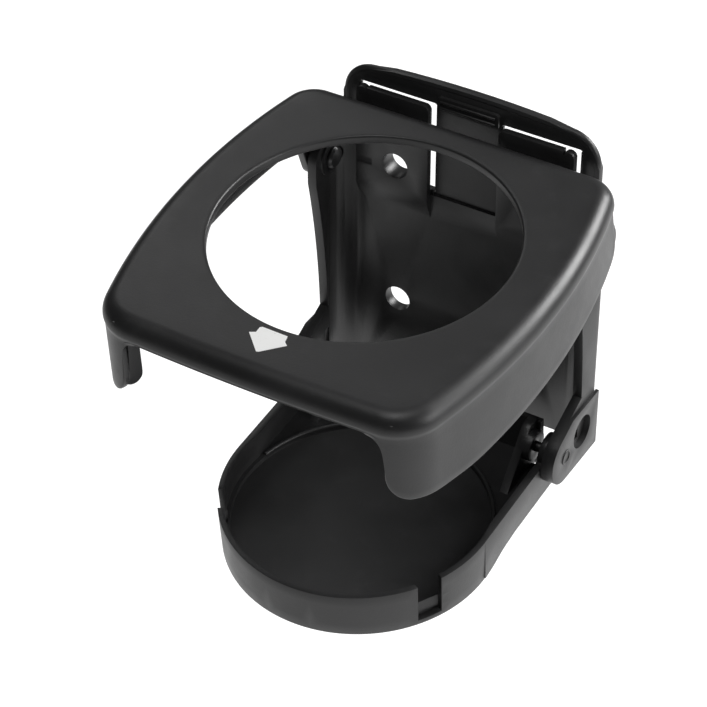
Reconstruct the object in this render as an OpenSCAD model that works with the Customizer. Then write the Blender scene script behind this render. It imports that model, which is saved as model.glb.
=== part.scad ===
// Folding cup holder for a car.
// A bracket is screwed to a wall, a ring with a cup hole folds down from it,
// and a shallow tray under the ring folds up between the bracket's cheeks.
// The origin is the centre of the four screw holes, on the bracket's back face.

/* [Cup ring] */
// Diameter of the hole that takes the cup
hole_d = 72; // [66:0.5:74]
// Greatest width of the ring, across its sides
ring_w = 97.4; // [96.8:0.2:100]
// From the hole's centre to the front edge
ring_front = 51.8; // [51:0.2:54]
// From the hole's centre to the rear edge
ring_rear = 45.1; // [44.6:0.1:45.3]
// Radius of the bowed sides
side_bow_r = 158; // [150:2:200]
// Radius of the bowed front edge
front_bow_r = 700; // [500:20:1200]
// Radius of the nearly straight rear edge
rear_bow_r = 3000; // [1500:100:4000]
// Radius of the front corners, seen from above
front_corner_r = 12; // [10:0.5:13]
// Radius of the rear corners, seen from above
rear_corner_r = 8.5; // [8:0.25:9]
// Thickness of the ring's top
top_t = 2.5; // [2:0.1:3]
// Thickness of the skirt
skirt_t = 2; // [1.6:0.1:2.2]
// Depth of the rolled edge between the top and the skirt
roll_h = 4.4; // [4:0.1:4.6]
// Width of the rolled edge
roll_w = 4.4; // [3.6:0.1:4.6]
// Step from the rolled edge in to the skirt
roll_step = 0.5; // [0.2:0.1:0.8]
// Depth of the skirt along the front edge
front_drop = 5.5; // [5.3:0.1:7]
// Depth of the two front corner lugs
lug_drop = 24.2; // [22:0.2:25]
// Greatest depth of the side skirts
side_drop = 27.5; // [26.8:0.1:28]
// Inner edge of each corner lug, from the middle
lug_x = 33.8; // [33:0.2:36]
// How far each lug's end wall reaches back
lug_return = 7; // [4:0.25:8]
// How far the ring droops below level at rest
ring_droop = 4.75; // [3:0.25:6]

/* [Tray] */
// Outer diameter of the round pan at its rim
pan_d = 69.6; // [66:0.2:69.6]
// Height of the pan
pan_h = 12.8; // [12.4:0.1:14]
// Height of the straight arms behind the pan
arm_h = 10; // [9:0.25:11]
// Draft of the pan: how much smaller its radius is at the bottom
pan_draft = 0.3; // [0.2:0.1:1.5]
// Thickness of the pan's wall
pan_wall = 1.5; // [1.2:0.1:1.8]
// Thickness of each arm
arm_t = 2; // [1.8:0.1:2.2]
// From the rim down to the deck behind the cup well
deck_drop = 7.3; // [7:0.1:7.6]
// Depth of the round cup well below the deck
well_drop = 1.4; // [0.8:0.1:1.5]
// Width of the notch at each side of the pan
notch_w = 6.4; // [4:0.2:8]
// Place of the notches: degrees in front of the pan's widest line
notch_turn = 31.2; // [28:0.4:40]
// Height of the wall across the tray's rear above the rim
rear_rise = 4.5; // [2:0.25:4.5]
// How far the tray droops below level at rest
tray_droop = 4.3; // [3:0.1:5.5]

/* [Bracket] */
// Width across the cheeks
bracket_w = 75; // [75:0.5:76]
// Thickness of each cheek
cheek_t = 2.4; // [2:0.1:2.5]
// Width of the upper plate
plate_w = 69.6; // [68:0.2:70]
// Thickness of the upper plate
plate_t = 2; // [1.8:0.1:2.2]
// Thickness of the lower plate
lower_t = 2.9; // [2.8:0.1:3.3]
// Height of the plate's crowned top edge above the origin
plate_top = 46.4; // [45.8:0.2:48]
// Radius of the plate's crowned top edge
plate_crown_r = 300; // [250:10:400]
// Depth of the plate's bottom edge below the origin
plate_bottom = 45; // [44.8:0.1:46]
// Radius of the plate's top corners
plate_corner_r = 8; // [6:0.5:9]
// Screw spacing across
screw_dx = 37; // [35:0.5:39]
// Screw spacing up and down
screw_dz = 42; // [40:0.5:43]
// Diameter of the screw holes
screw_d = 7; // [4:0.2:7]
// How far the faces of the two hooks stand off the wall
hook_out = 5; // [4.8:0.1:5.2]
// Thickness of the hooks
hook_t = 1.8; // [1.6:0.05:1.85]
// Width of each hook
hook_w = 20; // [18:0.25:20.5]
// Width of the slit beside each hook
slit_w = 0.9; // [0.8:0.05:1.2]

/* [Hinges] */
// Diameter of the ring's two pivot pins
ring_pin_d = 6; // [5:0.25:6.5]
// Diameter of the tray's two pivot pins
tray_pin_d = 2.6; // [2.4:0.1:3]
// Radius of the ears round the ring's pivots
ring_ear_r = 5.6; // [5:0.1:6]
// Radial clearance of a pin in the piece that turns on it
run_gap = 0.05; // [0.03:0.01:0.1]

/* [Hidden] */
$fn = 96;
black = [0.10, 0.10, 0.105];
dark = [0.15, 0.15, 0.16];
white = [0.93, 0.93, 0.92];

// Hinge lines, as [depth, height] from the origin
ring_axis = [-7.8, 20];
tray_axis = [-18.5, -37.8];
// The same two lines in the ring's and the tray's own frames
ring_pivot = [42.2, -20];
tray_pivot = [34.9, 0];

cheek_out = bracket_w / 2;
cheek_in = cheek_out - cheek_t;
ear_out = cheek_out + 0.9;
ring_ear_in = cheek_out + 0.7;
ring_ear_t = 2.2;
lip_r = top_t / 2 + 0.15;
toe_r = plate_bottom + tray_axis[1];
boss_r = 7;
arm_out = pan_d / 2;
arm_in = arm_out - arm_t;
floor_t = 1.6;
well_r = arm_out - pan_wall - 1.2;
hook_top = 41;
hook_foot = 14.4;
hook_in = 9.5;
slot_top = 40.7;
slot_sill = 15;
cove_r = 6.5;
gusset_x = 26.2;
gusset_t = 2.2;
knuckle_out = 30.2;

// Turns a drawing in the depth-height plane into a solid w wide, centred on x
module across(w, x = 0)
  translate([x, 0, 0]) rotate([90, 0, 90]) linear_extrude(w, center = true) children();

// A cylinder along x, from x0 to x1, at a [depth, height] point
module rod(at, r, x0, x1)
  translate([x0, at[0], at[1]]) rotate([0, 90, 0]) cylinder(r = r, h = x1 - x0);

// Both sides of something drawn on the right
module both() {
  children();
  mirror([1, 0, 0]) children();
}

// Rectangle with rounded corners, centred across, from y0 to y1
module slab2(w, y0, y1, r) {
  translate([-w / 2 + r, y0]) square([w - 2 * r, y1 - y0]);
  translate([-w / 2, y0 + r]) square([w, y1 - y0 - 2 * r]);
  for (x = [-w / 2 + r, w / 2 - r], y = [y0 + r, y1 - r])
    translate([x, y]) circle(r = r);
}

// Point where the line from a meets the circle (c, r) as a tangent, on side s
function tangent(a, c, r, s) =
  let (v = c - a, d = norm(v), t = atan2(v[1], v[0]) + s * asin(r / d), l = sqrt(d * d - r * r))
  a + l * [cos(t), sin(t)];

// Smooth curve through a list of points, n steps between each two
function at_or_end(p, i) = p[max(0, min(len(p) - 1, i))];
function curve(p, n = 6) = [
  for (i = [0 : len(p) - 2], k = [0 : n - 1])
    let (t = k / n, a = at_or_end(p, i - 1), b = p[i], c = p[i + 1], d = at_or_end(p, i + 2))
    0.5 * (2 * b + (c - a) * t + (2 * a - 5 * b + 4 * c - d) * t * t
           + (3 * b - a - 3 * c + d) * t * t * t),
  p[len(p) - 1]
];

// Ring, drawn level with its hole's centre at the origin and its top at 0

// Centre of the corner circle that touches a side bow (centre p, radius r) and
// an end bow (centre q, radius s) from inside; up is 1 behind, -1 in front
function corner_mid(p, r, q, s, up) =
  let (v = q - p, d = norm(v), m = (r * r - s * s + d * d) / (2 * d), h = sqrt(r * r - m * m),
       u = v / d, w = [-u[1], u[0]], k1 = p + m * u + h * w, k2 = p + m * u - h * w)
  (k1[0] > 0) && (k1[1] * up > 0) ? k1 : k2;
function arc(c, r, a0, a1, n) = [for (i = [0 : n]) let (a = a0 + (a1 - a0) * i / n) c + r * [cos(a), sin(a)]];
function way(v) = atan2(v[1], v[0]);

side_mid = [ring_w / 2 - side_bow_r, 0];
front_mid = [0, front_bow_r - ring_front];
rear_mid = [0, ring_rear - rear_bow_r];
front_k = corner_mid(side_mid, side_bow_r - front_corner_r, front_mid, front_bow_r - front_corner_r, -1);
rear_k = corner_mid(side_mid, side_bow_r - rear_corner_r, rear_mid, rear_bow_r - rear_corner_r, 1);

// Right half of the outline, from the middle of the front to the middle of the rear
function half_outline(d) = concat(
  arc(front_mid, front_bow_r - d, -90, way(front_k - front_mid), 3),
  arc(front_k, front_corner_r - d, way(front_k - front_mid), way(front_k - side_mid), 9),
  arc(side_mid, side_bow_r - d, way(front_k - side_mid), way(rear_k - side_mid), 14),
  arc(rear_k, rear_corner_r - d, way(rear_k - side_mid), way(rear_k - rear_mid), 9),
  arc(rear_mid, rear_bow_r - d, way(rear_k - rear_mid), 90, 2));

// The ring's outline drawn in by d: side and end bows joined by round corners
function thin(p) = [for (i = [0 : len(p) - 1]) if (i == 0 || norm(p[i] - p[i - 1]) > 0.01) p[i]];
function outline(d) = let (p = thin(half_outline(d)), n = len(p))
  [for (i = [0 : 2 * n - 3]) i < n ? p[i] : [-p[2 * n - 2 - i][0], p[2 * n - 2 - i][1]]];
module ring_outline(d = 0) polygon(outline(d));

// Domed cap: the outline shrinks towards the top along a quarter ellipse
module ring_cap() {
  levels = concat([for (a = [0 : 15 : 90]) [roll_w * (1 - sin(a)), -roll_h * (1 - cos(a))]],
                  [[0, -roll_h - 0.7]]);
  loops = [for (l = levels) [for (p = outline(l[0])) [p[0], p[1], l[1]]]];
  n = len(loops[0]);
  m = len(loops);
  polyhedron(
    [for (l = loops) each l],
    concat(
      [[for (i = [n - 1 : -1 : 0]) i]],
      [for (k = [0 : m - 2], i = [0 : n - 1]) let (j = (i + 1) % n) each [
        [k * n + i, k * n + j, (k + 1) * n + j], [k * n + i, (k + 1) * n + j, (k + 1) * n + i]]],
      [[for (i = [0 : n - 1]) (m - 1) * n + i]]));
}

// Side view of the ring: what is left of the skirt along each side
ring_side = concat(
  [[-60, 1], [-60, -lug_drop], [-44, -lug_drop]],
  curve([[-42, -lug_drop - 0.2], [-37, -lug_drop - 1.5], [-31, -side_drop + 1], [-22, -side_drop + 0.9],
         [-12, -side_drop + 1], [-2, -side_drop + 0.3], [8, -side_drop], [15, -side_drop + 0.6], [21, -25.4],
         [27, -22.7], [33, -21.3], [37, -19.7]]),
  [[39.6, -17.4], [41, -14.4], [41.4, -11], [41.8, -roll_h - 1.2], [60, -roll_h - 1.2], [60, 1]]);

// What is cut from the front skirt between the two corner lugs
lug_r = 6.5;
module front_window() rotate([90, 0, 0]) linear_extrude(60) difference() {
  union() {
    translate([-lug_x + 4.5, -40]) square([2 * lug_x - 9, 40 - front_drop]);
    translate([-lug_x, -40]) square([2 * lug_x, 40 - front_drop - 4.5]);
    for (s = [-1, 1]) {
      translate([s * (lug_x - 4.5), -front_drop - 4.5]) circle(r = 4.5);
      translate([s * lug_x - (s > 0 ? 0.1 : lug_r), -lug_drop - 1]) square([lug_r + 0.1, lug_r + 1]);
    }
  }
  for (s = [-1, 1]) translate([s * (lug_x + lug_r), -lug_drop + lug_r]) circle(r = lug_r);
}

// End wall that runs back from each lug's inner edge
module lug_wall() let (y = -ring_front + 2.2, r = 3.5)
  across(skirt_t, lug_x + skirt_t / 2 + 0.05) {
    translate([y, -lug_drop + 4]) square([lug_return - r, lug_drop - 5.9]);
    translate([y, -lug_drop + 4 + r]) square([lug_return, lug_drop - 5.9 - r]);
    translate([y + lug_return - r, -lug_drop + 4 + r]) circle(r = r);
  }

// Ear that hangs from the ring's rear and carries the pivot pin
module ring_ear() difference() {
  across(ring_ear_t, ring_ear_in + ring_ear_t / 2) {
    polygon([
      [31, -2], [41.2, -2],
      tangent([41.2, -2], ring_pivot, ring_ear_r, 1), ring_pivot,
      tangent([31, -2], ring_pivot, ring_ear_r, -1)]);
    translate(ring_pivot) circle(r = ring_ear_r);
  }
  rod(ring_pivot, ring_pin_d / 2, ring_ear_in - 1, ring_ear_in + ring_ear_t + 1);
}

module ring_level() {
  difference() {
    intersection() {
      difference() {
        union() {
          ring_cap();
          translate([0, 0, -30]) linear_extrude(30 - roll_h) ring_outline(roll_step);
        }
        translate([0, 0, -40]) linear_extrude(40 - top_t) ring_outline(roll_step + skirt_t);
      }
      across(ring_w + 20) polygon(ring_side);
    }
    translate([0, -ring_front + 9, 0]) front_window();
    translate([0, 0, -5]) cylinder(r = hole_d / 2 + lip_r, h = 10, $fn = 144);
  }
  // Rounded lip round the cup hole, a hair proud of the top
  translate([0, 0, -top_t / 2]) rotate_extrude($fn = 144)
    translate([hole_d / 2 + lip_r, 0]) circle(r = lip_r, $fn = 24);
  both() {
    ring_ear();
    lug_wall();
  }
}

// Puts something drawn in the ring's own frame where the ring is at rest
module ring_place()
  translate([0, ring_axis[0], ring_axis[1]]) rotate([ring_droop, 0, 0])
    translate([0, -ring_pivot[0], -ring_pivot[1]]) children();

module ring() color(black) ring_place() ring_level();

// Pivot pin: fast in the ring's ear, free in the bracket's cheek, rounded inner end
module ring_pin() {
  r = ring_pin_d / 2;
  c = 0.6;
  rod(ring_pivot, r, cheek_in - 1.2, ring_ear_in + ring_ear_t);
  translate([cheek_in - 1.2 - c, ring_pivot[0], ring_pivot[1]]) rotate([0, 90, 0])
    cylinder(r1 = r - c, r2 = r, h = c);
}
module ring_pin_right() color(dark) ring_place() ring_pin();
module ring_pin_left() color(dark) mirror([1, 0, 0]) ring_place() ring_pin();

// Tray, drawn level with the pan's centre at the origin and its rim at 0

// Side view of one arm, from the pan's widest line back to its pivot
arm_side = [[0, 0], tray_pivot + [0, 0], tray_pivot - [0, arm_h], [15, -arm_h], [9, -arm_h - 0.6],
            [4, -pan_h + 0.9], [0, -pan_h + 0.3]];

// Side view that the pan is cut to, so that its bottom edge rises to the arms behind
pan_side = [[-60, 5], [-60, -20], [1, -20], [1, -pan_h + 0.1], [4, -pan_h + 0.7], [9, -arm_h - 0.8],
            [15, -arm_h - 0.15], [20, -arm_h + 0.05], [60, -arm_h + 0.05], [60, 5]];

module tray_arm() {
  across(arm_t, arm_out - arm_t / 2) polygon(arm_side);
  rod(tray_pivot, 4.7, arm_in, arm_out);
  across(arm_t, arm_out - arm_t / 2) polygon([
    tray_pivot + [-6, -1], tray_pivot + [4.6, -1], tray_pivot + [3.2, -arm_h], tray_pivot + [-6, -arm_h]]);
}

// Sloping brace between the deck and the pivot, with a knuckle on its outer side
module tray_gusset() {
  across(gusset_t, gusset_x + gusset_t / 2) polygon([
    [21.8, -8.6], [34.6, 5], [36, 5.7], [38.6, 5.6], [39.9, 4.9], [40.2, 3], [40.2, -8.6]]);
  rod(tray_pivot, 4.1, gusset_x + 1, knuckle_out);
}

// Pan, deck and arms, with the hollows over and under the floor
module tray_shell() {
  difference() {
    union() {
      intersection() {
        translate([0, 0, -pan_h]) cylinder(r1 = arm_out - pan_draft, r2 = arm_out, h = pan_h, $fn = 180);
        across(100) polygon(pan_side);
      }
      translate([-arm_in - 0.5, 0, -arm_h]) cube([2 * arm_in + 1, tray_pivot[0] + 1, arm_h]);
      translate([-28.4, tray_pivot[0], -arm_h]) cube([56.8, 5.4, arm_h - 4.2]);
      both() tray_arm();
    }
    // Hollow over the deck, open behind
    translate([0, 0, -deck_drop]) cylinder(r1 = arm_out - pan_wall - pan_draft * deck_drop / pan_h,
      r2 = arm_out - pan_wall + 0.08, h = deck_drop + 1, $fn = 180);
    translate([-arm_in, 0, -deck_drop]) cube([2 * arm_in, tray_pivot[0] + 3.8, 30]);
    // Cup well
    translate([0, 0, -deck_drop - well_drop]) cylinder(r = well_r, h = 10, $fn = 180);
    // Hollow under the floor
    translate([0, 0, -pan_h - 1]) cylinder(r = arm_out - pan_draft - pan_wall,
      h = pan_h + 1 - deck_drop - well_drop - floor_t, $fn = 180);
    translate([-arm_in, well_r + 1.2, -20]) cube([2 * arm_in, 20, 20 - deck_drop - floor_t]);
    translate([-arm_in, 8, -20]) cube([2 * arm_in, 30, 20 - deck_drop - well_drop - floor_t]);
  }
  // Solid backs behind the notches, under the floor
  both() rotate([0, 0, -notch_turn]) translate([arm_out - pan_wall - 3, -notch_w / 2 - 1.5, -pan_h + 0.4])
    cube([3.3, notch_w + 3, pan_h - deck_drop - well_drop - floor_t + 0.2]);
}

module tray_level() difference() {
  union() {
    difference() {
      tray_shell();
      // Notch through the wall at each side
      both() rotate([0, 0, -notch_turn]) translate([arm_out - pan_wall - 0.6, -notch_w / 2, -pan_h + 1.3])
        cube([8, notch_w, 30]);
    }
    // Raised lip along the rear of the well
    translate([0, 0, -deck_drop]) rotate([0, 0, 12]) rotate_extrude(angle = 156, $fn = 180)
      translate([well_r + 0.5, 0]) circle(r = 0.6, $fn = 20);
    // Wall across the rear of the deck
    translate([-29.4, tray_pivot[0] + 3.8, -arm_h]) cube([58.8, 1.6, arm_h + rear_rise]);
    both() tray_gusset();
  }
  both() rod(tray_pivot, tray_pin_d / 2 + run_gap, 20, 40);
}

// Puts something drawn in the tray's own frame where the tray is at rest
module tray_place()
  translate([0, tray_axis[0], tray_axis[1]]) rotate([tray_droop, 0, 0])
    translate([0, -tray_pivot[0], -tray_pivot[1]]) children();

module tray() color(black) tray_place() tray_level();

// Pivot pin: fast in the bracket's ear, free in the tray
module tray_pin() rod(tray_axis, tray_pin_d / 2, gusset_x + gusset_t + 0.4, ear_out);
module tray_pin_right() color(dark) tray_pin();
module tray_pin_left() color(dark) mirror([1, 0, 0]) tray_pin();

// Bracket, drawn in its own place

// Section of the lower part, seen from above: plate, coves and cheeks
module channel_section() difference() {
  union() {
    translate([-cheek_out, -30]) square([bracket_w, 30 - 3]);
    translate([-cheek_out + 3, -5]) square([bracket_w - 6, 5]);
    for (s = [-1, 1]) translate([s * (cheek_out - 3), -3]) circle(r = 3);
  }
  translate([-cheek_in, -31]) square([2 * cheek_in, 31 - lower_t - cove_r]);
  translate([-cheek_in + cove_r, -31]) square([2 * (cheek_in - cove_r), 31 - lower_t]);
  for (s = [-1, 1]) translate([s * (cheek_in - cove_r), -lower_t - cove_r]) circle(r = cove_r);
}

// Side view of a cheek without its ear: a shallow hollow curve along the front edge
module cheek_side() {
  top = tray_axis[1] + 12.3;
  h = ring_axis[1] - top;
  difference() {
    translate([ring_axis[0] - boss_r, -plate_bottom])
      square([boss_r - ring_axis[0], plate_bottom + ring_axis[1]]);
    // The cut's circle passes through the edge's two ends and its hollow middle
    translate([ring_axis[0] - boss_r + 3.15 - 1.05, (ring_axis[1] + top) / 2])
      rotate(atan2(6.3, h)) translate([-235 + 1.05, 0]) circle(r = 235, $fn = 720);
    translate([-30, -60]) square([30 + ring_axis[0] - 0.8, 60 + top]);
  }
  translate(ring_axis) circle(r = boss_r);
  translate([ring_axis[0], ring_axis[1] - 5]) square([-ring_axis[0], boss_r + 5]);
}

// Side view of the ear that reaches forward from the foot of each cheek
module ear_side() {
  a = [-8.4, -25.2];
  polygon([a, [0, -25.2], [0, -plate_bottom], [tray_axis[0], -plate_bottom], tray_axis,
           tangent(a, tray_axis, toe_r, -1)]);
  translate(tray_axis) circle(r = toe_r);
}

// Outline of the upper plate, from the front
module plate_front() intersection() {
  slab2(plate_w, -10, plate_top, plate_corner_r);
  translate([0, plate_top - plate_crown_r]) circle(r = plate_crown_r, $fn = 720);
}

// Turns a front-view drawing into a solid between two depths behind y = 0
module facing(y0, y1) translate([0, y1, 0]) rotate([90, 0, 0]) linear_extrude(y1 - y0) children();

// One hook: a tongue that stands off the wall, open behind, to the sides and on top
module hook() {
  x1 = hook_in + hook_w;
  facing(-hook_out, -hook_out + hook_t) {
    translate([hook_in, hook_foot + 3]) square([hook_w, hook_top - hook_foot - 4.5]);
    translate([hook_in + 1.5, hook_foot]) square([hook_w - 4.5, hook_top - hook_foot]);
    translate([hook_in + 1.5, hook_top - 1.5]) circle(r = 1.5);
    translate([x1 - 1.5, hook_top - 1.5]) circle(r = 1.5);
    translate([x1 - 3, hook_foot + 3]) circle(r = 3);
    translate([hook_in, hook_foot]) square([3, 4]);
  }
  // Foot that ties the tongue to the plate, ramped below
  intersection() {
    across(hook_w, hook_in + hook_w / 2) polygon([
      [-hook_out, hook_foot + 3], [-hook_out, hook_foot - 1.6], [-lower_t + 0.1, hook_foot - 7.2],
      [-1, hook_foot - 7.2], [-1, hook_foot + 0.6], [-hook_out + hook_t, hook_foot + 1.8]]);
    facing(-20, 0) slab2(2 * x1, hook_foot - 7.2, hook_foot + 12, 3);
  }
  // Screw tube behind the tongue
  rotate([90, 0, 0]) translate([screw_dx / 2, screw_dz / 2, 0])
    cylinder(r = screw_d / 2 + 1.3, h = hook_out - 0.3);
}

module bracket() color(black) difference() {
  union() {
    difference() {
      union() {
        facing(-plate_t, 0) plate_front();
        intersection() {
          translate([0, 0, -plate_bottom]) linear_extrude(plate_bottom + slot_sill - 0.6) channel_section();
          across(bracket_w + 10) { cheek_side(); ear_side(); }
        }
        // Cheeks above the lower plate
        intersection() {
          translate([0, 0, slot_sill - 1]) linear_extrude(30) channel_section();
          across(bracket_w + 10) cheek_side();
          both() translate([cheek_in - cove_r, -40, 0]) cube([cove_r + 10, 40, 60]);
        }
        // Ears stand a little proud of the cheeks
        both() across(0.9, cheek_out + 0.45) difference() {
          ear_side();
          translate([-60, -28.4]) square([70, 20]);
          translate([-1.5, -60]) square([10, 40]);
        }
      }
      // Slot and slits round each hook
      both() facing(-20, 1) {
        translate([hook_in - slit_w, slot_sill]) square([hook_w + 2 * slit_w, slot_top - slot_sill - 1]);
        translate([hook_in - slit_w + 1, slot_sill]) square([hook_w + 2 * slit_w - 2, slot_top - slot_sill]);
        for (x = [hook_in - slit_w + 1, hook_in + hook_w + slit_w - 1])
          translate([x, slot_top - 1]) circle(r = 1);
      }
    }
    both() hook();
    // Raised bar with two ridges between the slots
    facing(-plate_t - 0.9, -0.5) slab2(16.6, 39.4, 43.4, 0.8);
    for (z = [40.5, 42.2]) rod([-plate_t - 0.9, z], 0.35, -7.4, 7.4);
    // Boss on the inner side of each cheek, round the ring's pivot
    both() rod(ring_axis, 5, cheek_in - 0.6, cheek_in + 1);
  }
  // Four screw holes
  for (x = [-1, 1], z = [-1, 1])
    rotate([90, 0, 0]) translate([x * screw_dx / 2, z * screw_dz / 2, -5]) cylinder(r = screw_d / 2, h = 20);
  both() {
    rod(ring_axis, ring_pin_d / 2 + run_gap, 25, 50);
    rod(tray_axis, tray_pin_d / 2, 25, 50);
    // Round recess in the ear with a slit through its floor
    rod([-10, -35.7], 4.5, ear_out - 1.7, 50);
    translate([cheek_in - 1, -10.9, -38.9]) cube([5, 1.8, 6.4]);
  }
}

bracket();
ring();
ring_pin_left();
ring_pin_right();
tray();
tray_pin_left();
tray_pin_right();
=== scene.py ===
"""Looks of a folding cup holder for a car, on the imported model."""
import math

import bmesh
import bpy
from mathutils import Matrix, Vector


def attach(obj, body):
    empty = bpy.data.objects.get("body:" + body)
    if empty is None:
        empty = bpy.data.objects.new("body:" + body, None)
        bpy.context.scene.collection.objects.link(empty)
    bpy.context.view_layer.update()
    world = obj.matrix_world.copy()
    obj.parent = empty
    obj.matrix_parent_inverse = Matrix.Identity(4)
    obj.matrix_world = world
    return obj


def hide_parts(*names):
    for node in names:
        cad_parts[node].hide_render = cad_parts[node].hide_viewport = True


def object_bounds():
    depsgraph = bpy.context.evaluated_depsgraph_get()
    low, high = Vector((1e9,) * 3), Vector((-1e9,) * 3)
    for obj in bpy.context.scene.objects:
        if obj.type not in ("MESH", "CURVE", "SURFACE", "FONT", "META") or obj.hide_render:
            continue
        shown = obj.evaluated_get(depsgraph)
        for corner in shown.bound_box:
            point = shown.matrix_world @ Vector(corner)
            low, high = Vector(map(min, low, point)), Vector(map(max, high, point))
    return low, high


bl_info = {
    "name": "Folding Cup Holder",
    "version": (1, 0, 0),
    "blender": (4, 5, 0),
    "location": "View3D > Sidebar > Cup Holder",
    "description": "Dresses a folding cup holder: ring, tray, bracket, pins and stage",
    "category": "Add Mesh",
}

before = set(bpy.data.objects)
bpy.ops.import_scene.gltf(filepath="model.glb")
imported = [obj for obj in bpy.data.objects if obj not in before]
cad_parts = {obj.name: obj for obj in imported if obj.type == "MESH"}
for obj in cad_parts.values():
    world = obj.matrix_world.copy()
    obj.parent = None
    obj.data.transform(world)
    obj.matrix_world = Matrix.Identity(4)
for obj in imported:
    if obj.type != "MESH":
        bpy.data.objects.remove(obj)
CAD_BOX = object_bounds()
MM = 0.001

# Where the ring turns, and the same point in the ring's own level frame
RING_AXIS = Vector((0, -7.8, 20)) * MM
RING_PIVOT = Vector((0, 42.2, -20)) * MM
RING_DROOP = math.radians(4.75)
RING_PLACE = (Matrix.Translation(RING_AXIS) @ Matrix.Rotation(RING_DROOP, 4, "X")
              @ Matrix.Translation(-RING_PIVOT))


# Materials

class Wire:
    """One output of a node, on which arithmetic adds Math nodes."""

    def __init__(self, finish, socket):
        self.finish, self.socket = finish, socket

    def __add__(self, other):
        return self.finish.math("ADD", self, other)

    def __sub__(self, other):
        return self.finish.math("SUBTRACT", self, other)

    def __rsub__(self, other):
        return self.finish.math("SUBTRACT", other, self)

    def __mul__(self, other):
        return self.finish.math("MULTIPLY", self, other)

    __radd__, __rmul__ = __add__, __mul__


class Finish:
    """A material and the nodes that make it."""

    def __init__(self, name):
        self.material = bpy.data.materials.new(name)
        self.material.use_nodes = True
        self.nodes = self.material.node_tree.nodes
        self.links = self.material.node_tree.links
        self.nodes.clear()

    def node(self, kind, out=0, inputs=None, **settings):
        """Adds a node, sets its options and inputs, and gives back one of its outputs."""
        n = self.nodes.new(kind)
        for key, value in settings.items():
            setattr(n, key, value)
        for key, value in (inputs or {}).items():
            self.join(value, n.inputs[key])
        return Wire(self, n.outputs[out])

    def join(self, value, socket):
        if isinstance(value, Wire):
            self.links.new(value.socket, socket)
        else:
            socket.default_value = value

    def math(self, operation, *values):
        return self.node("ShaderNodeMath", operation=operation, inputs=dict(enumerate(values)))

    def ramp(self, value, low, high, to_low=0.0, to_high=1.0):
        """Smooth step of a value from one range to another."""
        return self.node("ShaderNodeMapRange", interpolation_type="SMOOTHSTEP",
                         inputs={0: value, 1: low, 2: high, 3: to_low, 4: to_high})

    def mix(self, factor, a, b):
        """Mix of two colours."""
        return self.node("ShaderNodeMix", out=2, data_type="RGBA", inputs={0: factor, 6: a, 7: b})

    def noise(self, place, scale, detail=3.0, rough=0.55):
        return self.node("ShaderNodeTexNoise",
                         inputs={"Vector": place, "Scale": scale, "Detail": detail, "Roughness": rough})

    def bump(self, height, strength, distance, normal=None):
        inputs = {"Height": height, "Strength": strength, "Distance": distance}
        if normal is not None:
            inputs["Normal"] = normal
        return self.node("ShaderNodeBump", inputs=inputs)

    def output(self, shader):
        out = self.nodes.new("ShaderNodeOutputMaterial")
        self.links.new(shader.socket, out.inputs["Surface"])
        return self.material


def tint(colour, factor):
    return (colour[0] * factor, colour[1] * factor, colour[2] * factor, 1.0)


def moulded_plastic(name, look, seed, polish=0.0):
    """Black moulded plastic: spark-eroded grain, faint flow clouds, rubbed spots and fine scratches."""
    f = Finish(name)
    at = f.node("ShaderNodeTexCoord", out=3)
    shift = (seed * 0.37, seed * 0.11, seed * 0.23)
    place = f.node("ShaderNodeMapping", inputs={"Vector": at, "Location": shift})
    cloud = f.noise(place, 42.0, 3.0)
    patch = f.noise(place, 160.0, 4.0, 0.6)
    grain = f.noise(place, 2600.0, 2.0, 0.7)
    pits = f.node("ShaderNodeTexVoronoi", feature="F1", inputs={"Vector": place, "Scale": 1500.0})
    drawn = f.node("ShaderNodeMapping",
                   inputs={"Vector": place, "Rotation": (0.3, 0.9, 0.6), "Scale": (30.0, 900.0, 900.0)})
    scratch = f.ramp(f.noise(drawn, 1.0, 2.0), 0.73, 0.78)
    rubbed = f.ramp(patch, 0.56, 0.72)
    colour = f.mix(f.ramp(cloud, 0.3, 0.7), tint(look.plastic, 0.88), tint(look.plastic, 1.14))
    colour = f.mix(rubbed * 0.35 + scratch * 0.25, colour, tint(look.plastic, 1.5))
    base = look.roughness - polish
    rough = f.ramp(cloud * 0.6 + patch * 0.4, 0.35, 0.65, base - 0.04, base + 0.05)
    rough = rough + grain * 0.05 - scratch * 0.06
    normal = f.bump(grain * 0.6 + pits * 0.4, look.grain, 0.00006)
    normal = f.bump(patch, 0.12, 0.0001, normal)
    shader = f.node("ShaderNodeBsdfPrincipled",
                    inputs={"Base Color": colour, "Roughness": rough, "Normal": normal, "IOR": 1.5})
    return f.output(shader)


def blackened_steel(name):
    """Blackened pin steel with turned rings on its ends."""
    f = Finish(name)
    at = f.node("ShaderNodeTexCoord", out=3)
    blotch = f.noise(at, 700.0, 3.0)
    stripe = f.node("ShaderNodeMapping", inputs={"Vector": at, "Scale": (9000.0, 300.0, 300.0)})
    turned = f.noise(stripe, 1.0, 2.0)
    colour = f.mix(f.ramp(blotch, 0.35, 0.7), (0.030, 0.030, 0.032, 1.0), (0.075, 0.074, 0.072, 1.0))
    rough = f.ramp(blotch + turned * 0.4, 0.4, 1.0, 0.28, 0.46)
    normal = f.bump(turned, 0.15, 0.00004)
    shader = f.node("ShaderNodeBsdfPrincipled",
                    inputs={"Base Color": colour, "Metallic": 0.85, "Roughness": rough, "Normal": normal})
    return f.output(shader)


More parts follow.
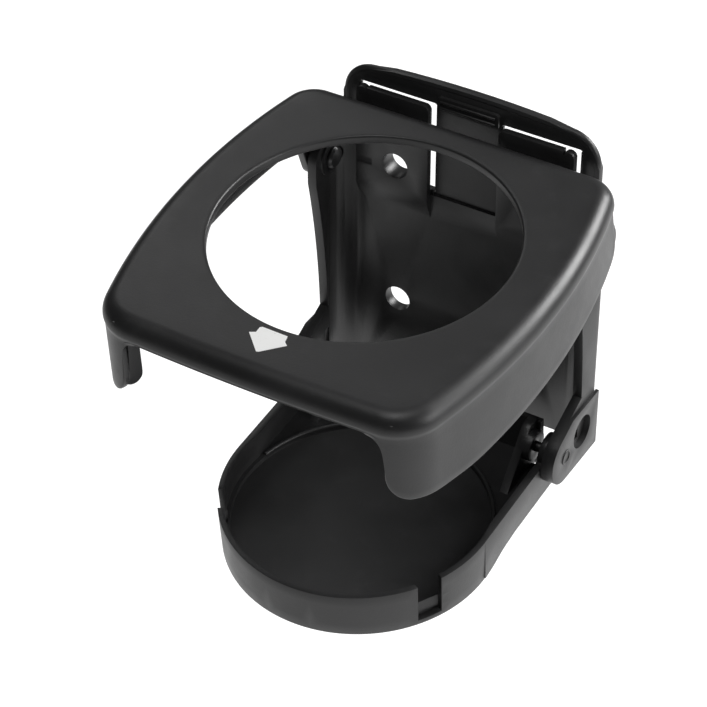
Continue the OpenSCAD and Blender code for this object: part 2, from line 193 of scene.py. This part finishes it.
def white_print(name):
    """White pad print, a little thin and uneven over the grain."""
    f = Finish(name)
    at = f.node("ShaderNodeTexCoord", out=3)
    thin = f.ramp(f.noise(at, 900.0, 4.0), 0.62, 0.78)
    colour = f.mix(thin, (0.93, 0.93, 0.92, 1.0), (0.72, 0.72, 0.71, 1.0))
    normal = f.bump(f.noise(at, 2600.0, 2.0), 0.3, 0.00004)
    shader = f.node("ShaderNodeBsdfPrincipled",
                    inputs={"Base Color": colour, "Roughness": 0.5, "Normal": normal})
    return f.output(shader)


def dress(obj, material):
    obj.data.materials.clear()
    obj.data.materials.append(material)


# Mesh helpers

def add_piece(name, mesh, body, material):
    """Links a finished mesh as a piece that rides on a body."""
    obj = bpy.data.objects.new(name, mesh)
    bpy.context.scene.collection.objects.link(obj)
    dress(obj, material)
    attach(obj, body)
    return obj


def mesh_from(bm, name, smooth=True, sharp=40.0):
    """Writes a bmesh out with smooth faces, keeping edges over an angle sharp."""
    mesh = bpy.data.meshes.new(name)
    bm.normal_update()
    for face in bm.faces:
        face.smooth = smooth
    for edge in bm.edges:
        if len(edge.link_faces) == 2 and edge.calc_face_angle(0) > math.radians(sharp):
            edge.smooth = False
    bm.to_mesh(mesh)
    bm.free()
    return mesh


# Ring

HOLE_R, RIM_W, TOP_T = 36.0, 1.4, 2.5
RING_HALF, RING_FRONT, RING_REAR = 48.7, 51.8, 45.1
SIDE_R, FRONT_R, REAR_R, FRONT_K, REAR_K = 158.0, 700.0, 3000.0, 12.0, 8.5
ROLL_W, ROLL_H, GROOVE, FLARE, SKIRT_T = 4.4, 4.4, 0.3, 0.5, 2.0
FRONT_DROP, LUG_DROP, SKIRT_REAR, LUG_X, REAR_DROP, LUG_R = 5.5, 24.2, 18.2, 33.8, 5.6, 6.5
EAR_R, EAR_FACES, PIN_R, EDGE_R = 5.6, (38.2, 40.4), 3.0, 0.3


def corner_mid(p, r, q, s, up):
    """Centre of the corner circle that touches both bows from inside."""
    v = q - p
    d = v.length
    m = (r * r - s * s + d * d) / (2 * d)
    h = math.sqrt(r * r - m * m)
    u = v / d
    w = Vector((-u.y, u.x))
    k = p + m * u + h * w
    return k if k.x > 0 and k.y * up > 0 else p + m * u - h * w


class Outline:
    """The ring's outline as arcs, measured by length from the middle of the front."""

    def __init__(self):
        side = Vector((RING_HALF - SIDE_R, 0))
        front = Vector((0, FRONT_R - RING_FRONT))
        rear = Vector((0, RING_REAR - REAR_R))
        kf = corner_mid(side, SIDE_R - FRONT_K, front, FRONT_R - FRONT_K, -1)
        kr = corner_mid(side, SIDE_R - REAR_K, rear, REAR_R - REAR_K, 1)
        way = lambda v: math.atan2(v.y, v.x)
        self.arcs = [(front, FRONT_R, -math.pi / 2, way(kf - front)),
                     (kf, FRONT_K, way(kf - front), way(kf - side)),
                     (side, SIDE_R, way(kf - side), way(kr - side)),
                     (kr, REAR_K, way(kr - side), way(kr - rear)),
                     (rear, REAR_R, way(kr - rear), math.pi / 2)]
        self.half = sum(r * (b - a) for _, r, a, b in self.arcs)

    def at(self, s, inset):
        """Point at length s round the ring, drawn in by inset."""
        s %= 2 * self.half
        flip = s > self.half
        s = 2 * self.half - s if flip else s
        for i, (mid, r, a, b) in enumerate(self.arcs):
            length = r * (b - a)
            if s <= length or i == 4:
                t = a + s / r
                p = mid + (r - inset) * Vector((math.cos(t), math.sin(t)))
                return Vector((-p.x, p.y)) if flip else p
            s -= length

    def find(self, test):
        """First length at which a test on the outer point holds."""
        s = 0.0
        while s < self.half and not test(self.at(s, 0)):
            s += 0.02
        return s


def arc_points(cx, cy, r, a0, a1, n):
    return [(cx + r * math.cos(math.radians(a0 + (a1 - a0) * i / n)),
             cy + r * math.sin(math.radians(a0 + (a1 - a0) * i / n))) for i in range(n + 1)]


def smooth_curve(points, n):
    """Curve through points, n steps between each two."""
    out = []
    for i in range(len(points) - 1):
        a, b = points[max(0, i - 1)], points[i]
        c, d = points[i + 1], points[min(len(points) - 1, i + 2)]
        for k in range(n):
            t = k / n
            out.append(tuple(0.5 * (2 * q + (r - p) * t + (2 * p - 5 * q + 4 * r - s) * t * t
                                    + (3 * q - p - 3 * r + s) * t ** 3) for p, q, r, s in zip(a, b, c, d)))
    return out + [points[-1]]


def skirt_edge(outline):
    """The skirt's lower edge from the front middle to the rear middle, as (length, height)."""
    lug = outline.find(lambda p: p.x >= LUG_X)
    edge = [(0, -FRONT_DROP)]
    edge += arc_points(lug - 4.5, -FRONT_DROP - 4.5, 4.5, 90, 0, 8)
    edge += arc_points(lug + LUG_R, -LUG_DROP + LUG_R, LUG_R, 180, 270, 10)
    side = [(-41 + 77 * k / 24, -LUG_DROP - 0.1 + (LUG_DROP + 0.1 - SKIRT_REAR) * k / 24) for k in range(25)]
    side += smooth_curve([(36, -SKIRT_REAR), (38.0, -17.4), (39.0, -15.6), (39.8, -12.2), (40.7, -8.6),
                          (41.5, -6.3), (42.3, -REAR_DROP)], 4)[1:]
    for y, z in side:
        edge.append((outline.find(lambda p: p.x > 30 and p.y >= y), z))
    return edge + [(outline.half, -REAR_DROP)]


def even(points, n):
    """n + 1 points spaced evenly along a line of points."""
    run = [0.0]
    for a, b in zip(points, points[1:]):
        run.append(run[-1] + math.dist(a, b))
    out, k = [], 0
    for i in range(n + 1):
        want = run[-1] * i / n
        while k < len(points) - 2 and run[k + 1] < want:
            k += 1
        t = (want - run[k]) / max(1e-9, run[k + 1] - run[k])
        out.append(tuple(a + (b - a) * t for a, b in zip(points[k], points[k + 1])))
    return out


def step(value, low, high):
    """Smooth step from 0 at low to 1 at high."""
    t = max(0.0, min(1.0, (value - low) / (high - low)))
    return t * t * (3 - 2 * t)


def ring_shell(columns):
    """The ring's moulded shell: top, rolled edge, step, skirt with its lugs, and inner faces."""
    outline = Outline()
    whole = 2 * outline.half
    half = even(skirt_edge(outline), columns // 2)
    edge = half + [(whole - s, z) for s, z in reversed(half[1:-1])]
    n = len(edge)
    # Columns leave the edge's steep runs evenly spread along the top
    spread = []
    reach = n // 28
    for j in range(n):
        total = 0.0
        for k in range(-reach, reach + 1):
            s = edge[(j + k) % n][0]
            total += s + (whole if j + k >= n else -whole if j + k < 0 else 0)
        spread.append(total / (2 * reach + 1))
    rows = []
    for j in range(n):
        s0, (s1, z1) = spread[j], edge[j]
        a, b = edge[j - 1], edge[(j + 1) % n]
        ds, dz = (b[0] - a[0] + whole / 2) % whole - whole / 2, b[1] - a[1]
        size = math.hypot(ds, dz) or 1
        up = (-dz / size, ds / size)
        column = []
        point = outline.at(s0, 0)
        way = math.atan2(point.y, point.x)
        ray = Vector((math.cos(way), math.sin(way)))

        def flat(z, t, inset):
            p = ((HOLE_R + RIM_W) * ray).lerp(outline.at(s0, inset), t)
            column.append((p.x, p.y, z))

        def wall(t, inset, z):
            q = outline.at(s0 + ((s1 - s0 + whole / 2) % whole - whole / 2) * t, inset)
            column.append((q.x, q.y, z))

        # Fronts and backs are too shallow for the whole groove, and only the sides flare
        deep = min(1.0, (-z1 - ROLL_H - 0.45) / 1.9)
        flare = step(-z1, 8, 16) * step(point.y, -44, -30)
        groove, foot = GROOVE * deep, GROOVE * deep * (1 - flare) - FLARE * flare
        knee = -ROLL_H - 1.6 * deep
        for t in (0.0, 0.35, 0.7):
            flat(0.0, t, ROLL_W)
        for i in range(12):
            turn = math.pi / 2 * i / 11
            wall(0.0, ROLL_W * (1 - math.sin(turn)), -ROLL_H * (1 - math.cos(turn)))
        for u in (0.2, 0.45, 0.7, 1.0):
            wall(0.0, groove * step(u, 0, 1), -ROLL_H + (knee + ROLL_H) * u)
        for k in range(1, 8):
            wall(k / 8, groove + (foot - groove) * k / 8, knee + (z1 - knee) * k / 8)
        for inset, lift in ((0.0, 0.45), (0.1, 0.2), (0.35, 0.05), (0.8, 0.0), (1.3, 0.0), (1.65, 0.05),
                            (1.9, 0.2), (SKIRT_T, 0.45)):
            q = outline.at(s1 + up[0] * lift, foot + inset)
            column.append((q.x, q.y, z1 + up[1] * lift))
        for k in range(6, -1, -1):
            wall(k / 7, 2.5 + (foot + SKIRT_T - 2.5) * k / 7, -3.3 + (z1 + 3.3) * k / 7)
        wall(0.0, 2.65, -2.8)
        wall(0.0, 3.3, -TOP_T)
        for t in (0.6, 0.3, 0.0):
            flat(-TOP_T, t, 3.3)
        rows.append(column)
    bm = bmesh.new()
    grid = [[bm.verts.new(Vector(p) * MM) for p in column] for column in rows]
    m = len(grid[0])
    for j in range(n):
        here, there = grid[j], grid[(j + 1) % n]
        for i in range(m):
            bm.faces.new((here[i], there[i], there[(i + 1) % m], here[(i + 1) % m]))
    bmesh.ops.recalc_face_normals(bm, faces=bm.faces)
    return bm


def tangent(a, c, r, side):
    """Point where the line from a touches the circle round c, on one side."""
    v = (c[0] - a[0], c[1] - a[1])
    d = math.hypot(*v)
    t = math.atan2(v[1], v[0]) + side * math.asin(r / d)
    length = math.sqrt(d * d - r * r)
    return (a[0] + length * math.cos(t), a[1] + length * math.sin(t))


def slab(profile, hole, x0, x1, rounding):
    """A plate between x0 and x1 with a (depth, height) outline, a round hole and rounded rims."""
    bm = bmesh.new()
    edges = []
    loops = [profile] + ([arc_points(hole[0], hole[1], hole[2], 0, 360, 40)[:-1]] if hole else [])
    for loop in loops:
        verts = [bm.verts.new(Vector((x0, y, z)) * MM) for y, z in loop]
        edges += [bm.edges.new((verts[i], verts[(i + 1) % len(verts)])) for i in range(len(verts))]
    bmesh.ops.triangle_fill(bm, edges=edges, use_beauty=True)
    made = bmesh.ops.extrude_face_region(bm, geom=list(bm.faces))
    bmesh.ops.translate(bm, verts=[v for v in made["geom"] if isinstance(v, bmesh.types.BMVert)],
                        vec=Vector((x1 - x0, 0, 0)) * MM)
    bmesh.ops.recalc_face_normals(bm, faces=bm.faces)
    rim = [e for e in bm.edges if len(e.link_faces) == 2 and e.calc_face_angle(0) > math.radians(60)
           and abs(e.verts[0].co.x - e.verts[1].co.x) < 1e-7]
    bmesh.ops.bevel(bm, geom=rim, offset=rounding * MM, segments=3, profile=0.5, affect="EDGES")
    return bm


def ring_ear(side):
    """Ear under the ring's rear that carries a pivot pin."""
    c, r = (42.2, -20.0), EAR_R
    t1, t2 = tangent((41.2, -2), c, r, 1), tangent((31, -2), c, r, -1)
    a1 = math.degrees(math.atan2(t1[1] - c[1], t1[0] - c[0]))
    a2 = math.degrees(math.atan2(t2[1] - c[1], t2[0] - c[0])) % 360 - 360
    profile = [(31, -2), (41.2, -2)] + arc_points(c[0], c[1], r, a1, a2, 36)
    return slab(profile, (c[0], c[1], PIN_R), EAR_FACES[0] * side, EAR_FACES[1] * side, EDGE_R)


def lug_wall(side):
    """End wall that runs back from a corner lug's inner edge, rounded below like the lug."""
    y0, y1, z0 = -RING_FRONT + 2.1, -RING_FRONT + 8.5, -LUG_DROP + 1.3
    foot = smooth_curve([(y0, z0 + 2.5), (y0 + 1.4, z0 + 1.2), (y0 + 3.2, z0 + 0.2), (y0 + 4.7, z0),
                         (y1 - 0.5, z0 + 0.4), (y1 - 0.1, z0 + 1.3), (y1, z0 + 2.6)], 4)
    profile = foot + [(y1, -1.9), (y0, -1.9)]
    return slab(profile, None, (LUG_X + 0.05) * side, (LUG_X + SKIRT_T + 0.05) * side, EDGE_R)


def merge(bm, other):
    """Adds another bmesh to a bmesh."""
    mesh = bpy.data.meshes.new("part")
    other.to_mesh(mesh)
    other.free()
    bm.from_mesh(mesh)
    bpy.data.meshes.remove(mesh)


# Rims made by nodes

FILLET_STEPS = 5


def rim_tree(material):
    """Geometry nodes: a rim of rounded oblong section that follows a path, with its sizes as inputs."""
    tree = bpy.data.node_groups.new("Rim Along Path", "GeometryNodeTree")
    face = tree.interface
    face.new_socket("Geometry", in_out="OUTPUT", socket_type="NodeSocketGeometry")
    face.new_socket("Geometry", in_out="INPUT", socket_type="NodeSocketGeometry")
    keys = {}
    for name, kind, value in (("Width", "Float", 0.002), ("Height", "Float", 0.002),
                              ("Rounding", "Float", 0.0005), ("Fillet Steps", "Int", FILLET_STEPS)):
        item = face.new_socket(name, in_out="INPUT", socket_type="NodeSocket" + kind)
        item.default_value = value
        keys[name] = item.identifier
    new, link = tree.nodes.new, tree.links.new
    given = new("NodeGroupInput")
    path = new("GeometryNodeMeshToCurve")
    link(given.outputs["Geometry"], path.inputs["Mesh"])
    section = new("GeometryNodeCurvePrimitiveQuadrilateral")
    link(given.outputs["Width"], section.inputs["Width"])
    link(given.outputs["Height"], section.inputs["Height"])
    fillet = new("GeometryNodeFilletCurve")
    fillet.mode = "POLY"
    fillet.inputs["Limit Radius"].default_value = True
    link(section.outputs["Curve"], fillet.inputs["Curve"])
    link(given.outputs["Rounding"], fillet.inputs["Radius"])
    link(given.outputs["Fillet Steps"], fillet.inputs["Count"])
    sweep = new("GeometryNodeCurveToMesh")
    sweep.inputs["Fill Caps"].default_value = True
    link(path.outputs["Curve"], sweep.inputs["Curve"])
    link(fillet.outputs["Curve"], sweep.inputs["Profile Curve"])
    real = new("GeometryNodeRealizeInstances")
    link(sweep.outputs["Mesh"], real.inputs["Geometry"])
    cover = new("GeometryNodeSetMaterial")
    cover.inputs["Material"].default_value = material
    link(real.outputs["Geometry"], cover.inputs["Geometry"])
    out = new("NodeGroupOutput")
    link(cover.outputs["Geometry"], out.inputs["Geometry"])
    return tree, keys


class Rims:
    """Sweeps rims along paths with one node tree."""

    def __init__(self, material):
        self.tree, self.keys = rim_tree(material)

    def sweep(self, points, width, height, rounding, closed=False):
        """Mesh of a rim along points in mm, with its section's sizes in mm."""
        mesh = bpy.data.meshes.new("rim")
        edges = [(i, i + 1) for i in range(len(points) - 1)]
        if closed:
            edges.append((len(points) - 1, 0))
        mesh.from_pydata([Vector(q) * MM for q in points], edges, [])
        obj = bpy.data.objects.new("rim", mesh)
        bpy.context.scene.collection.objects.link(obj)
        run = obj.modifiers.new("sweep", "NODES")
        run.node_group = self.tree
        for key, value in (("Width", width), ("Height", height), ("Rounding", rounding)):
            run[self.keys[key]] = value * MM
        run[self.keys["Fillet Steps"]] = FILLET_STEPS
        ready = obj.evaluated_get(bpy.context.evaluated_depsgraph_get())
        made = bpy.data.meshes.new_from_object(ready)
        obj.modifiers.remove(run)
        bpy.data.objects.remove(obj)
        bm = bmesh.new()
        bm.from_mesh(made)
        bmesh.ops.remove_doubles(bm, verts=bm.verts, dist=2e-6)
        bmesh.ops.recalc_face_normals(bm, faces=bm.faces)
        return bm


def ring_of_points(centre, radius, axis, n):
    """Points of a circle round the X or Z axis through a centre."""
    flat = [(radius * math.cos(math.tau * i / n), radius * math.sin(math.tau * i / n)) for i in range(n)]
    put = {"X": lambda u, v: (0, u, v), "Z": lambda u, v: (u, v, 0)}[axis]
    return [Vector(centre) + Vector(put(u, v)) for u, v in flat]


# Softened copies of solids

SHARP = math.radians(32.0)
FLAT = math.radians(0.6)


def softened(node, width, cuts=()):
    """Copy of a node's mesh, trimmed by planes, with flat faces joined and sharp edges rounded."""
    bm = bmesh.new()
    bm.from_mesh(node.data)
    bmesh.ops.remove_doubles(bm, verts=bm.verts, dist=2e-6)
    for point, normal in cuts:
        whole = list(bm.verts) + list(bm.edges) + list(bm.faces)
        made = bmesh.ops.bisect_plane(bm, geom=whole, dist=1e-7, plane_co=Vector(point) * MM,
                                      plane_no=normal, clear_outer=True)
        edges = [e for e in made["geom_cut"] if isinstance(e, bmesh.types.BMEdge)]
        rim = [e for e in edges if len(e.link_faces) == 1]
        if rim:
            bmesh.ops.contextual_create(bm, geom=rim)
    bmesh.ops.dissolve_limit(bm, angle_limit=FLAT, verts=bm.verts, edges=bm.edges)
    rims = [e for e in bm.edges if len(e.link_faces) == 2 and e.calc_face_angle(0) > SHARP]
    bmesh.ops.bevel(bm, geom=rims, offset=width, segments=2, profile=0.5, affect="EDGES",
                    clamp_overlap=True)
    bmesh.ops.triangulate(bm, faces=[f for f in bm.faces if len(f.verts) > 4])
    return bm


# Bracket

PLATE_HALF, PLATE_TOP, CROWN_R, FLANGE_R = 34.8, 46.4, 300.0, 8.5
SLOT_IN, SLOT_OUT, SLOT_SILL, SLOT_TOP, PLATE_FACE = 8.6, 30.4, 15.0, 40.7, -1.9
EAR_OUT, TRAY_AXIS, PIN_RIM_R = 38.4, (-18.5, -37.8), 1.75
RIM_WIDTH, CUT_INSET = 2.04, 0.6
# Beads on the slot's upright edges, as (distance from the middle, width)
SLOT_BEADS = ((SLOT_IN + 0.2, 0.5), (SLOT_OUT - 0.3, 0.7))


def flange_corner():
    """Centre of the flange's round corner, which touches the side and the crowned top."""
    x = PLATE_HALF - FLANGE_R
    return x, PLATE_TOP - CROWN_R + math.sqrt((CROWN_R - FLANGE_R) ** 2 - x * x)


def corner_cuts():
    """Planes that trim the flange's two top corners round, a little inside its rim."""
    x, z = flange_corner()
    cuts = []
    for side in (1, -1):
        for turn in (20, 35, 50, 65, 80):
            way = Vector((side * math.cos(math.radians(turn)), 0, math.sin(math.radians(turn))))
            cuts.append((Vector((side * x, 0, z)) + way * (FLANGE_R - CUT_INSET), way))
    return cuts


def flange_path():
    """Middle line of the flange's rounded rim: up one side, over the crown and down the other."""
    x, z = flange_corner()
    lean = math.degrees(math.atan2(z - (PLATE_TOP - CROWN_R), x))
    inset, depth = RIM_WIDTH / 2, -1.03
    half = [(PLATE_HALF - inset, 20.0), (PLATE_HALF - inset, (20.0 + z) / 2)]
    half += arc_points(x, z, FLANGE_R - inset, 0, lean, 14)
    half += arc_points(0, PLATE_TOP - CROWN_R, CROWN_R - inset, lean, 90, 12)[1:]
    return [(u, depth, v) for u, v in half] + [(-u, depth, v) for u, v in reversed(half[:-1])]


# Add-on

class CupHolderLook(bpy.types.PropertyGroup):
    """Colours and sizes of the holder's finish and stage"""

    plastic: bpy.props.FloatVectorProperty(
        name="Plastic", description="Colour of the moulded plastic", subtype="COLOR", size=3, min=0, max=1,
        default=(0.022, 0.022, 0.0225))
    roughness: bpy.props.FloatProperty(
        name="Roughness", description="How dull the plastic is", default=0.37, min=0.1, max=0.9,
        subtype="FACTOR")
    grain: bpy.props.FloatProperty(
        name="Grain", description="Strength of the moulded grain", default=0.35, min=0, max=1,
        subtype="FACTOR")
    rounding: bpy.props.FloatProperty(
        name="Edge Rounding", description="Radius of the moulded edges", default=0.0003, min=0.0001,
        max=0.0006, subtype="DISTANCE", unit="LENGTH")
    rim: bpy.props.FloatProperty(
        name="Rim Rounding", description="Rounding of the cup hole's rim in mm", default=0.6, min=0.2,
        max=1.1)
    columns: bpy.props.IntProperty(
        name="Ring Columns", description="Columns of faces round the ring", default=520, min=200, max=1200)
    lamp: bpy.props.FloatProperty(
        name="Lamp Level", description="Strength of the soft lamps", default=1.0, min=0, max=4,
        subtype="FACTOR")
    floor: bpy.props.FloatProperty(
        name="Floor Drop", description="Depth of the floor under the holder", default=0.16, min=0.06, max=0.6,
        subtype="DISTANCE", unit="LENGTH")


MATERIALS = {}

# Camera fitted to the photo: place in mm, angles in degrees, picture width and focal length in pixels
CAMERA_EYE, CAMERA_AZ, CAMERA_EL = (259.2, -495.63, 410.81), 30.537, 38.494
PICTURE_PX, FOCAL_PX, SENSOR = 707, 2800, 36
# Lamps as name, place in m, size in m and power in W
LAMPS = (("Softbox Behind", (0.80, 1.05, 0.70), 0.70, 27.0), ("Left Behind", (-0.90, 0.75, 0.95), 0.60, 1.6),
         ("Above", (0.00, -0.45, 1.35), 0.70, 4.8), ("Right", (1.30, 0.10, 0.45), 0.70, 7.0))
AMBIENT = 0.07
# Outline of the printed arrow in the ring's own frame, and its thickness, in mm
ARROW = ((-5.66, -40.29), (-4.3, -39.58), (-4.36, -37.9), (-3.85, -37.5), (2.62, -37.6), (3.03, -39.38),
         (4.09, -40.28), (-0.39, -44.75), (-0.96, -44.94))
ARROW_T = 0.06


def finish_of(name):
    """The named finish, made on first use."""
    look = bpy.context.scene.cup_holder
    if name not in MATERIALS:
        if name == "steel":
            MATERIALS[name] = blackened_steel("Blackened Steel")
        elif name == "print":
            MATERIALS[name] = white_print("White Print")
        else:
            seed = {"ring": 1, "tray": 2, "bracket": 3, "pin": 4}[name]
            polish = 0.08 if name == "pin" else 0.0
            MATERIALS[name] = moulded_plastic(name.title() + " Plastic", look, seed, polish)
    return MATERIALS[name]


class CUPHOLDER_OT_stage(bpy.types.Operator):
    """Camera, lamps, floor and world"""

    bl_idname = "cupholder.stage"
    bl_label = "Stage"

    def execute(self, context):
        look = context.scene.cup_holder
        scene = context.scene
        scene.view_settings.view_transform = "Standard"
        az, el = math.radians(CAMERA_AZ), math.radians(CAMERA_EL)
        gaze = Vector((-math.sin(az) * math.cos(el), math.cos(az) * math.cos(el), -math.sin(el)))
        lens = bpy.data.cameras.new("Camera")
        lens.sensor_width = SENSOR
        lens.lens = SENSOR * FOCAL_PX / PICTURE_PX
        lens.clip_start, lens.clip_end = 0.01, 20
        camera = bpy.data.objects.new("Camera", lens)
        camera.location = Vector(CAMERA_EYE) * MM
        camera.rotation_euler = gaze.to_track_quat("-Z", "Y").to_euler()
        scene.collection.objects.link(camera)
        scene.camera = camera
        for name, at, size, power in LAMPS:
            lamp = bpy.data.lights.new(name, "AREA")
            lamp.shape, lamp.size = "SQUARE", size
            lamp.energy = power * look.lamp
            obj = bpy.data.objects.new(name, lamp)
            obj.location = at
            obj.rotation_euler = (-Vector(at)).to_track_quat("-Z", "Y").to_euler()
            scene.collection.objects.link(obj)
        self.world(scene)
        self.floor(scene, look)
        return {"FINISHED"}

    def world(self, scene):
        """White to the camera, plain soft light to the rest."""
        world = bpy.data.worlds.new("World")
        world.use_nodes = True
        scene.world = world
        nodes, links = world.node_tree.nodes, world.node_tree.links
        nodes.clear()
        path = nodes.new("ShaderNodeLightPath")
        seen = nodes.new("ShaderNodeBackground")
        seen.inputs["Color"].default_value = (1, 1, 1, 1)
        light = nodes.new("ShaderNodeBackground")
        light.inputs["Color"].default_value = (AMBIENT, AMBIENT, AMBIENT, 1)
        mix = nodes.new("ShaderNodeMixShader")
        either = nodes.new("ShaderNodeMath")
        either.operation = "MAXIMUM"
        links.new(path.outputs["Is Camera Ray"], either.inputs[0])
        links.new(path.outputs["Is Transmission Ray"], either.inputs[1])
        links.new(either.outputs[0], mix.inputs[0])
        links.new(light.outputs[0], mix.inputs[1])
        links.new(seen.outputs[0], mix.inputs[2])
        out = nodes.new("ShaderNodeOutputWorld")
        links.new(mix.outputs[0], out.inputs["Surface"])

    def floor(self, scene, look):
        """A pale floor well below the holder that still takes its shadow, and that glows with a painted
        reflection for glossy and transmission rays.
        """
        bm = bmesh.new()
        bmesh.ops.create_grid(bm, x_segments=8, y_segments=8, size=2.5)
        mesh = bpy.data.meshes.new("floor")
        bm.to_mesh(mesh)
        bm.free()
        mesh.transform(Matrix.Translation((0, 0, CAD_BOX[0].z - look.floor)))
        obj = bpy.data.objects.new("floor", mesh)
        scene.collection.objects.link(obj)
        f = Finish("Pale Floor")
        at = f.node("ShaderNodeTexCoord", out=3)
        shade = f.ramp(f.noise(at, 1.5), 0.3, 0.7, 0.78, 0.82)
        colour = f.node("ShaderNodeCombineColor", inputs={0: shade, 1: shade, 2: shade})
        matt = f.node("ShaderNodeBsdfDiffuse", inputs={"Color": colour})
        path = f.nodes.new("ShaderNodeLightPath")
        kinds = ("Is Camera Ray", "Is Glossy Ray", "Is Transmission Ray")
        camera, glossy, through = (Wire(f, path.outputs[k]) for k in kinds)
        glow = f.node("ShaderNodeEmission", inputs={"Color": (1, 1, 1, 1), "Strength": 0.45})
        lit = f.node("ShaderNodeAddShader", inputs={0: matt, 1: glow})
        # Painted reflection: to glossy and transmission rays the floor glows, bright near by and behind and
        # dimmer far off and in front, and this glow is what the plastic mirrors
        away = f.node("ShaderNodeVectorMath", out=1, operation="LENGTH", inputs={0: at})
        behind = f.node("ShaderNodeVectorMath", out=1, operation="DOT_PRODUCT",
                        inputs={0: at, 1: (0.6, 0.8, 0.0)})
        reflection_falloff = f.ramp(away, 0.6, 1.4, 1.25, 0.2) * f.ramp(behind, -0.45, 0.10, 0.60, 1.0)
        reflection_tone = f.node("ShaderNodeCombineColor", inputs={0: reflection_falloff, 1: reflection_falloff, 2: reflection_falloff})
        # Painted reflection: an emission on the floor that only glossy and transmission rays see
        reflection_glow = f.node("ShaderNodeEmission", inputs={"Color": reflection_tone, "Strength": 1.0})
        surface = f.node("ShaderNodeMixShader", inputs={0: camera, 1: matt, 2: lit})
        # Glossy and transmission rays see the painted reflection glow in place of the lit floor
        mirrored = f.math("MAXIMUM", glossy, through)
        surface = f.node("ShaderNodeMixShader", inputs={0: mirrored, 1: surface, 2: reflection_glow})
        dress(obj, f.output(surface))


class CUPHOLDER_OT_ring(bpy.types.Operator):
    """The ring's shell, its ears and lug walls and the rim of the cup hole"""

    bl_idname = "cupholder.ring"
    bl_label = "Ring"

    def execute(self, context):
        look = context.scene.cup_holder
        skin = finish_of("ring")
        bm = ring_shell(look.columns)
        for side in (1, -1):
            merge(bm, ring_ear(side))
            merge(bm, lug_wall(side))
        # The rim reaches under the shell's top, a hair below it
        circle = ring_of_points((0, 0, -TOP_T / 2), HOLE_R + 1.2, "Z", 240)
        merge(bm, Rims(skin).sweep(circle, 2.4, TOP_T - 0.02, look.rim, True))
        mesh = mesh_from(bm, "ring_shell", sharp=50)
        mesh.transform(RING_PLACE)
        shell = add_piece("ring_shell", mesh, "ring", skin)
        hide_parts("ring")
        return {"FINISHED"}


class CUPHOLDER_OT_bracket(bpy.types.Operator):
    """Bracket with its rounded rim, slot beads and pin rims"""

    bl_idname = "cupholder.bracket"
    bl_label = "Bracket"

    def execute(self, context):
        look = context.scene.cup_holder
        skin = finish_of("bracket")
        bm = softened(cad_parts["bracket"], look.rounding, cuts=corner_cuts())
        rims = Rims(skin)
        merge(bm, rims.sweep(flange_path(), RIM_WIDTH, RIM_WIDTH, RIM_WIDTH / 2))
        for side in (1, -1):
            for x, w in SLOT_BEADS:
                path = [(side * x, PLATE_FACE + 0.36, z) for z in (SLOT_SILL + 0.5, SLOT_TOP - 0.8)]
                merge(bm, rims.sweep(path, w, w, 0.2))
            circle = ring_of_points((side * EAR_OUT,) + TRAY_AXIS, PIN_RIM_R, "X", 48)
            merge(bm, rims.sweep(circle, 0.5, 0.5, 0.24, True))
        mesh = mesh_from(bm, "bracket_moulding")
        piece = add_piece("bracket_moulding", mesh, "bracket", skin)
        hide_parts("bracket")
        return {"FINISHED"}


class CUPHOLDER_OT_tray(bpy.types.Operator):
    """Tray with softened edges"""

    bl_idname = "cupholder.tray"
    bl_label = "Tray"

    def execute(self, context):
        look = context.scene.cup_holder
        bm = softened(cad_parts["tray"], look.rounding)
        mesh = mesh_from(bm, "tray_moulding")
        piece = add_piece("tray_moulding", mesh, "tray", finish_of("tray"))
        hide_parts("tray")
        return {"FINISHED"}


class CUPHOLDER_OT_pins(bpy.types.Operator):
    """Finishes of the four pivot pins"""

    bl_idname = "cupholder.pins"
    bl_label = "Pivot Pins"

    def execute(self, context):
        for side in ("left", "right"):
            dress(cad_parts["ring_pin_" + side], finish_of("pin"))
            dress(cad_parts["tray_pin_" + side], finish_of("steel"))
        return {"FINISHED"}


class CUPHOLDER_OT_mark(bpy.types.Operator):
    """Printed arrow in front of the cup hole"""

    bl_idname = "cupholder.mark"
    bl_label = "Arrow Mark"

    def execute(self, context):
        bm = bmesh.new()
        low = [bm.verts.new(Vector((x, y, 0.0)) * MM) for x, y in ARROW]
        bm.faces.new(low)
        made = bmesh.ops.extrude_face_region(bm, geom=list(bm.faces))
        bmesh.ops.translate(bm, verts=[v for v in made["geom"] if isinstance(v, bmesh.types.BMVert)],
                            vec=Vector((0, 0, ARROW_T)) * MM)
        bmesh.ops.recalc_face_normals(bm, faces=bm.faces)
        mesh = mesh_from(bm, "arrow_mark", smooth=False)
        mesh.transform(RING_PLACE)
        add_piece("arrow_mark", mesh, "ring", finish_of("print"))
        return {"FINISHED"}


class CUPHOLDER_PT_panel(bpy.types.Panel):
    """Lists the holder's steps and values"""

    bl_idname = "CUPHOLDER_PT_panel"
    bl_label = "Folding Cup Holder"
    bl_space_type = "VIEW_3D"
    bl_region_type = "UI"
    bl_category = "Cup Holder"

    def draw(self, context):
        look = context.scene.cup_holder
        for name in look.__annotations__:
            self.layout.prop(look, name)
        for step in STEPS:
            self.layout.operator("cupholder." + step)


STEPS = ("stage", "ring", "bracket", "tray", "pins", "mark")
CLASSES = (CupHolderLook, CUPHOLDER_OT_stage, CUPHOLDER_OT_ring, CUPHOLDER_OT_bracket,
           CUPHOLDER_OT_tray, CUPHOLDER_OT_pins, CUPHOLDER_OT_mark, CUPHOLDER_PT_panel)


def register():
    for cls in CLASSES:
        bpy.utils.register_class(cls)
    bpy.types.Scene.cup_holder = bpy.props.PointerProperty(type=CupHolderLook)


def unregister():
    del bpy.types.Scene.cup_holder
    for cls in reversed(CLASSES):
        bpy.utils.unregister_class(cls)


def main():
    """Runs every step."""
    register()
    for step in STEPS:
        getattr(bpy.ops.cupholder, step)()


if __name__ == "__main__":
    main()
